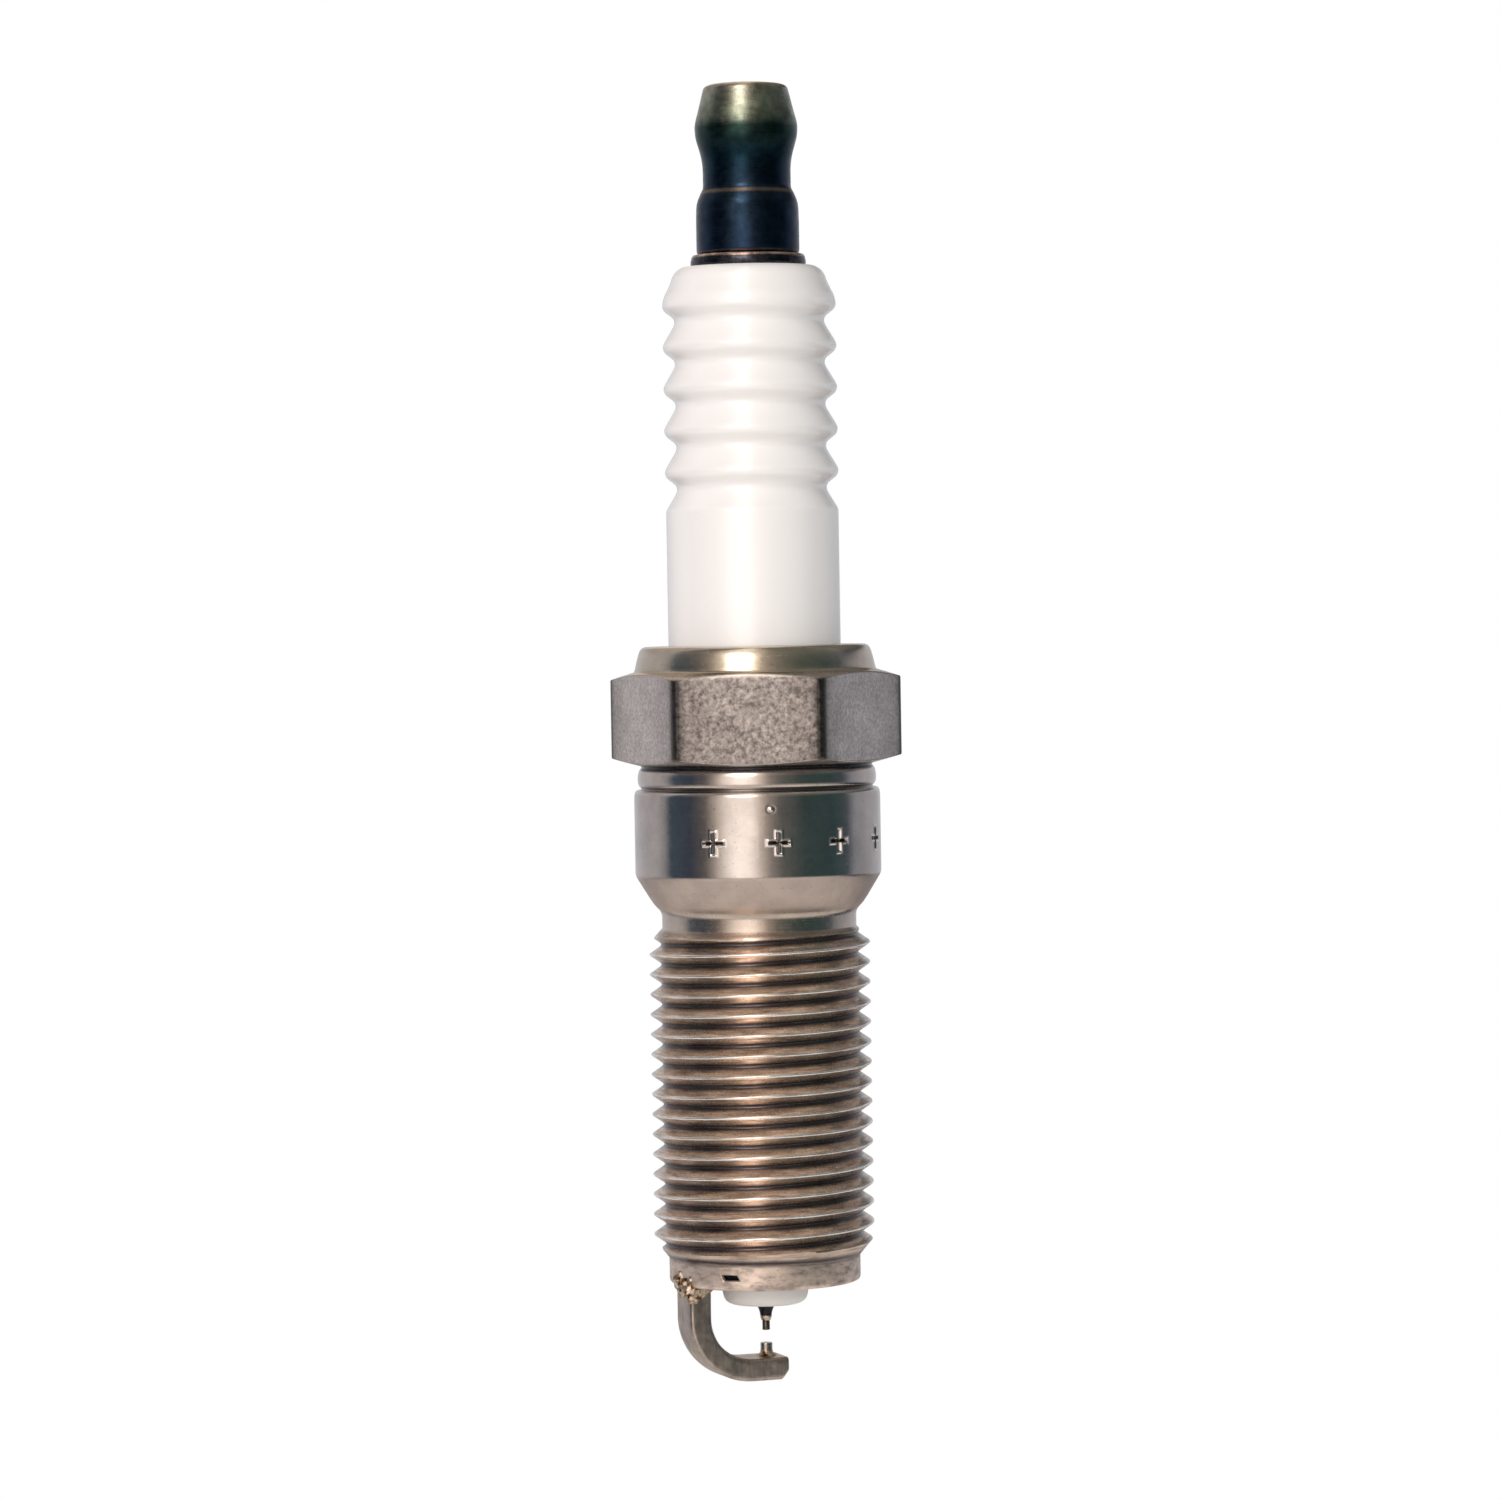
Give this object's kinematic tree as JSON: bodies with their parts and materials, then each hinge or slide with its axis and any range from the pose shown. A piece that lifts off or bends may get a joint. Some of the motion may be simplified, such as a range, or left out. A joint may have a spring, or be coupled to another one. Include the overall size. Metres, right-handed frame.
{
  "type": "spark plug",
  "caption": "Long-reach spark plug with a conical seat, hexagon shell, ribbed insulator, removable terminal nut and a bent ground strap over a fine centre pin.",
  "frame": {"origin": "on the plug's axis, in the gauge plane of the conical seat, where its diameter is 14.8 mm", "axes": "+Z along the plug's axis from the firing end to the terminal; the ground strap's leg stands at azimuth 200 degrees from +X"},
  "size_m": [0.0182, 0.0164, 0.0809],
  "materials": {
    "terminal_steel": "dark zinc-plated steel, turned, satin",
    "stud_steel": "plated steel",
    "glazed_alumina": "white alumina with a clear gloss glaze, bare and matt at the nose",
    "nickel_plated_steel": "cold-formed steel with warm satin nickel plating",
    "ring_steel": "plain steel wire",
    "washer_steel": "plain steel sheet",
    "talc": "packed talc powder, matt",
    "copper_glass": "glass and copper powder fused together, matt",
    "resistor_glass": "glass, ceramic and carbon powder, matt",
    "nickel_alloy": "heat-resistant nickel alloy, satin grey-brown",
    "copper": "pure copper",
    "weld_metal": "melted and re-set nickel, dull and rippled",
    "iridium": "iridium alloy, smooth",
    "platinum": "platinum alloy, smooth"
  },
  "bodies": {
    "plug": {"terminal_stud": "stud_steel", "insulator": "glazed_alumina", "metal_shell": "nickel_plated_steel", "upper_packing_ring": "ring_steel", "talc_seal": "talc", "lower_packing_ring": "ring_steel", "seat_packing_washer": "washer_steel", "upper_glass_seal": "copper_glass", "resistor": "resistor_glass", "lower_glass_seal": "copper_glass", "centre_electrode": "nickel_alloy", "centre_electrode_core": "copper", "centre_tip_weld": "weld_metal", "iridium_tip": "iridium", "ground_electrode": "nickel_alloy", "ground_electrode_core": "copper", "ground_root_weld": "weld_metal", "platinum_pin": "platinum", "pin_weld": "weld_metal"},
    "nut": {"terminal_nut": "terminal_steel"}
  },
  "joints": [
    {"name": "terminal_nut_slide", "type": "slide", "parent": "plug", "child": "nut", "axis": [0, 0, 1], "range_m": [0, 0.012]}
  ]
}
